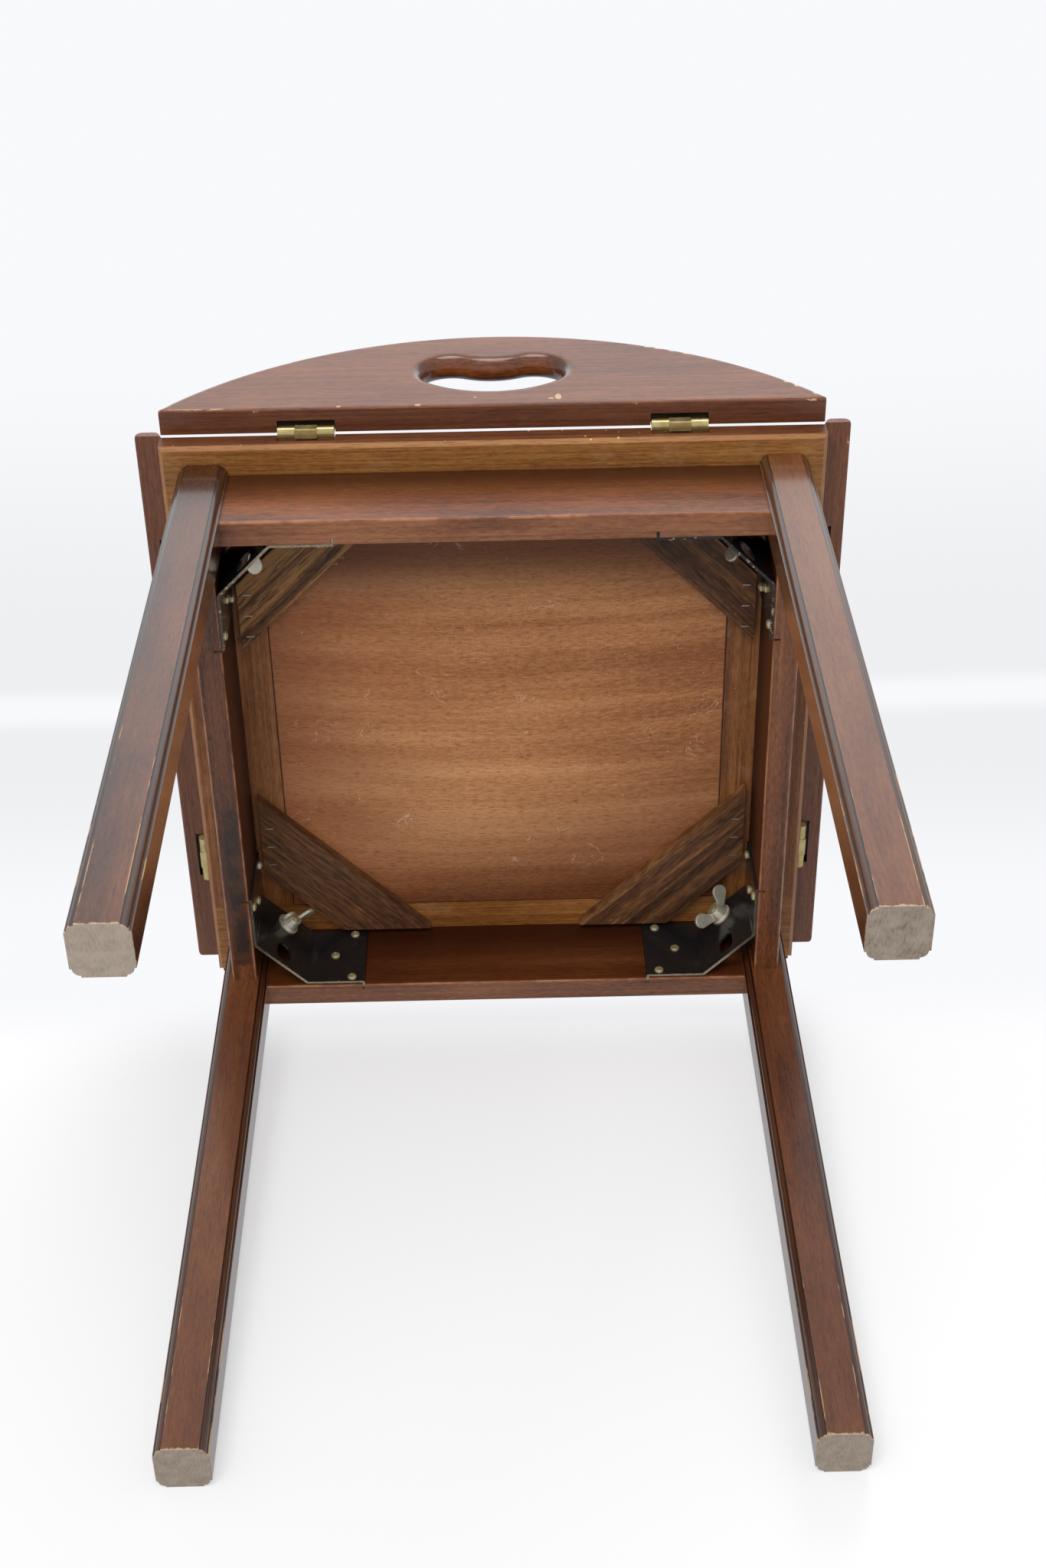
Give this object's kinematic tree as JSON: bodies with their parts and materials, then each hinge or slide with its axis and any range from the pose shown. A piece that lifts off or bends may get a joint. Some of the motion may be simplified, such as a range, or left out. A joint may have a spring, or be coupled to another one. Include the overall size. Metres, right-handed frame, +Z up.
{
  "type": "butlers tray table",
  "caption": "Square side table: a loose tray rests on a moulded-leg stand, and arched leaves with hand holes fold up on flush brass hinges to wall the tray.",
  "frame": {"origin": "on the floor under the middle of the table", "axes": "+Z up; +X to the right and +Y to the back of the table, seen from its front leaf"},
  "size_m": [0.497, 0.497, 0.6508],
  "materials": {
    "stand_wood": "satin",
    "leaf_wood": "satin",
    "rail_wood": "satin",
    "panel_veneer": "satin",
    "block_wood": "matte",
    "black_steel": "gloss",
    "plated_steel": "satin",
    "staple_steel": "satin",
    "yellow_screw": "satin",
    "brass": "satin"
  },
  "bodies": {
    "stand": {"leg_front_left": "stand_wood", "leg_front_right": "stand_wood", "leg_back_right": "stand_wood", "leg_back_left": "stand_wood", "apron_front": "stand_wood", "apron_right": "stand_wood", "apron_back": "stand_wood", "apron_left": "stand_wood", "corner_bracket_front_left": "black_steel", "corner_bracket_front_right": "black_steel", "corner_bracket_back_right": "black_steel", "corner_bracket_back_left": "black_steel", "bracket_screws": "yellow_screw", "hanger_bolts": "plated_steel"},
    "tray": {"tray_rail_front": "rail_wood", "tray_rail_right": "rail_wood", "tray_rail_back": "rail_wood", "tray_rail_left": "rail_wood", "tray_panel": "panel_veneer", "corner_block_front_left": "block_wood", "corner_block_front_right": "block_wood", "corner_block_back_right": "block_wood", "corner_block_back_left": "block_wood", "block_staples": "staple_steel", "tray_hinge_plate_front_1": "brass", "tray_hinge_plate_front_2": "brass", "tray_hinge_plate_right_1": "brass", "tray_hinge_plate_right_2": "brass", "tray_hinge_plate_back_1": "brass", "tray_hinge_plate_back_2": "brass", "tray_hinge_plate_left_1": "brass", "tray_hinge_plate_left_2": "brass", "tray_hinge_screws": "brass"},
    "wing_nut_front_left_body": {"wing_nut_front_left": "plated_steel"},
    "wing_nut_front_right_body": {"wing_nut_front_right": "plated_steel"},
    "wing_nut_back_right_body": {"wing_nut_back_right": "plated_steel"},
    "wing_nut_back_left_body": {"wing_nut_back_left": "plated_steel"},
    "leaf_front_body": {"leaf_front": "leaf_wood", "leaf_hinge_plate_front_1": "brass", "leaf_hinge_plate_front_2": "brass", "hinge_pins_front": "brass", "leaf_hinge_screws_front": "brass"},
    "leaf_right_body": {"leaf_right": "leaf_wood", "leaf_hinge_plate_right_1": "brass", "leaf_hinge_plate_right_2": "brass", "hinge_pins_right": "brass", "leaf_hinge_screws_right": "brass"},
    "leaf_back_body": {"leaf_back": "leaf_wood", "leaf_hinge_plate_back_1": "brass", "leaf_hinge_plate_back_2": "brass", "hinge_pins_back": "brass", "leaf_hinge_screws_back": "brass"},
    "leaf_left_body": {"leaf_left": "leaf_wood", "leaf_hinge_plate_left_1": "brass", "leaf_hinge_plate_left_2": "brass", "hinge_pins_left": "brass", "leaf_hinge_screws_left": "brass"}
  },
  "joints": [
    {"name": "tray_lift", "type": "slide", "parent": "stand", "child": "tray", "axis": [0, 0, 1], "range_m": [0, 0.2]},
    {"name": "leaf_front_fold", "type": "hinge", "parent": "tray", "child": "leaf_front_body", "pos_m": [0, -0.2325, 0.526], "axis": [1, 0, 0], "range_deg": [0, 90]},
    {"name": "leaf_right_fold", "type": "hinge", "parent": "tray", "child": "leaf_right_body", "pos_m": [0.2325, 0, 0.526], "axis": [0, 1, 0], "range_deg": [0, 90]},
    {"name": "leaf_back_fold", "type": "hinge", "parent": "tray", "child": "leaf_back_body", "pos_m": [0, 0.2325, 0.526], "axis": [-1, 0, 0], "range_deg": [0, 90]},
    {"name": "leaf_left_fold", "type": "hinge", "parent": "tray", "child": "leaf_left_body", "pos_m": [-0.2325, 0, 0.526], "axis": [0, -1, 0], "range_deg": [0, 90]},
    {"name": "wing_nut_front_left_turn", "type": "hinge", "parent": "stand", "child": "wing_nut_front_left_body", "pos_m": [-0.171, -0.171, 0.49], "axis": [0.7071, 0.7071, 0], "continuous": true},
    {"name": "wing_nut_front_right_turn", "type": "hinge", "parent": "stand", "child": "wing_nut_front_right_body", "pos_m": [0.171, -0.171, 0.49], "axis": [-0.7071, 0.7071, 0], "continuous": true},
    {"name": "wing_nut_back_right_turn", "type": "hinge", "parent": "stand", "child": "wing_nut_back_right_body", "pos_m": [0.171, 0.171, 0.49], "axis": [-0.7071, -0.7071, 0], "continuous": true},
    {"name": "wing_nut_back_left_turn", "type": "hinge", "parent": "stand", "child": "wing_nut_back_left_body", "pos_m": [-0.171, 0.171, 0.49], "axis": [0.7071, -0.7071, 0], "continuous": true}
  ]
}
